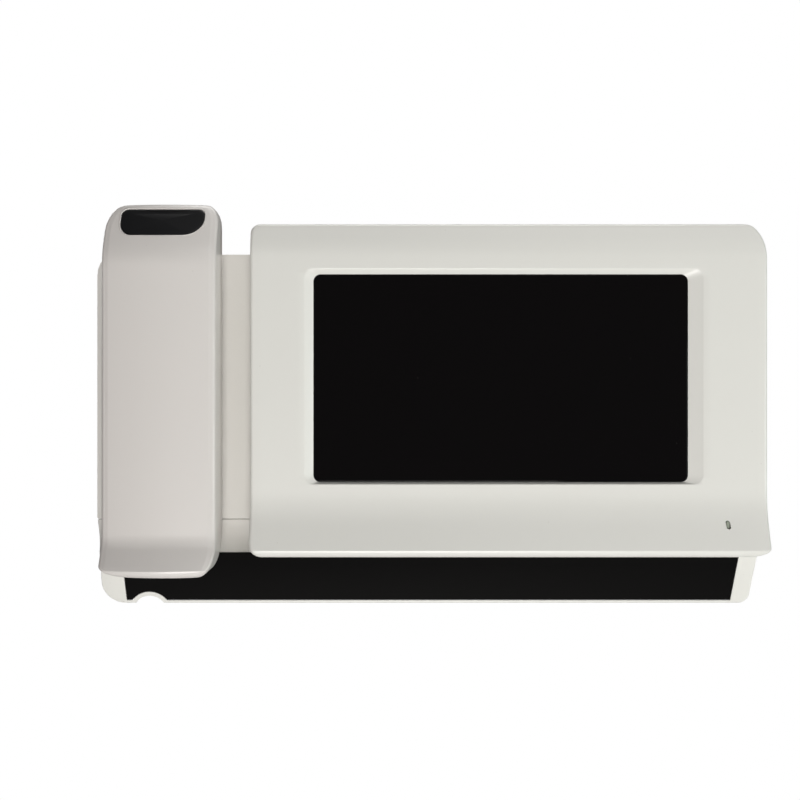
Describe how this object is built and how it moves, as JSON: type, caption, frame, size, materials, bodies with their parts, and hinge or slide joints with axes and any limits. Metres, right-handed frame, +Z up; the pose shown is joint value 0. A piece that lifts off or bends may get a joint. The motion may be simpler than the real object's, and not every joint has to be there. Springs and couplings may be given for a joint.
{
  "type": "video intercom monitor",
  "caption": "Wall-mounted video intercom monitor with a wide display cover, a black touch strip and a lift-off handset on a slanted cradle.",
  "frame": {"origin": "centre of the wall bracket's back face", "axes": "+X to the right seen from the front, +Y into the wall, +Z up"},
  "size_m": [0.2816, 0.059, 0.1686],
  "materials": {
    "shell": "warm off-white moulded plastic, glossy",
    "black_gloss": "high gloss black",
    "black_glass": "polished black acrylic window",
    "insert_black": "satin black",
    "black_plastic": "moulded, slightly textured",
    "rubber": "matte",
    "foam": "open cell, matte",
    "clear_plastic": "milky clear moulded plastic",
    "zinc_steel": "zinc plated sheet",
    "screw_steel": "nickel plated, bright",
    "circuit_board": "green solder mask",
    "green_plastic": "moulded terminal strip",
    "copper_film": "amber film and tape"
  },
  "bodies": {
    "bracket": {"wall_bracket": "zinc_steel"},
    "monitor": {"rear_housing": "shell", "lower_housing": "shell", "key_strip": "black_gloss", "touch_key_board": "circuit_board", "cradle_panel": "shell", "cradle_pad_left": "rubber", "cradle_pad_right": "rubber", "hook_spring": "screw_steel", "hook_switch": "black_plastic", "base_cord_socket": "black_plastic", "front_cover": "shell", "screen_lens": "black_glass", "screen_gasket": "foam", "lcd_module": "zinc_steel", "lcd_frame": "black_plastic", "lcd_ribbon": "copper_film", "status_light_pipe": "clear_plastic", "status_led": "clear_plastic", "led_board": "circuit_board", "main_board": "circuit_board", "line_terminal": "green_plastic", "mains_terminal": "black_plastic", "power_board": "circuit_board", "power_transformer": "copper_film", "filter_capacitor": "black_plastic", "loudspeaker": "zinc_steel", "cover_screw_1": "screw_steel", "cover_screw_2": "screw_steel", "cover_screw_3": "screw_steel", "cover_screw_4": "screw_steel", "cradle_screw_1": "screw_steel", "cradle_screw_2": "screw_steel", "lower_screw_1": "screw_steel", "lower_screw_2": "screw_steel", "lower_screw_3": "screw_steel", "board_screw_1": "screw_steel", "board_screw_2": "screw_steel", "board_screw_3": "screw_steel", "board_screw_4": "screw_steel", "power_screw_1": "screw_steel", "power_screw_2": "screw_steel", "lcd_screw_1": "screw_steel", "lcd_screw_2": "screw_steel", "lcd_screw_3": "screw_steel", "lcd_screw_4": "screw_steel"},
    "hook": {"hook_plunger": "black_plastic"},
    "handset": {"handset_front_shell": "shell", "handset_rear_shell": "shell", "ear_insert": "insert_black", "receiver_gasket": "foam", "receiver_capsule": "zinc_steel", "mic_boot": "rubber", "mic_capsule": "zinc_steel", "handset_weight": "zinc_steel", "handset_cord_socket": "black_plastic", "handset_screw_1": "screw_steel", "handset_screw_2": "screw_steel", "handset_screw_3": "screw_steel"}
  },
  "joints": [
    {"name": "monitor_lift_off", "type": "slide", "parent": "bracket", "child": "monitor", "axis": [0, 0, 1], "range_m": [0, 0.008]},
    {"name": "handset_lift", "type": "slide", "parent": "monitor", "child": "handset", "axis": [0, -0.866, 0.5], "range_m": [0, 0.06]},
    {"name": "hook_plunger_travel", "type": "slide", "parent": "monitor", "child": "hook", "axis": [0, -1, 0], "range_m": [0, 0.003]}
  ],
  "couplings": [
    {"joint": "hook_plunger_travel", "follows": "handset_lift", "ratio": 0.05}
  ]
}
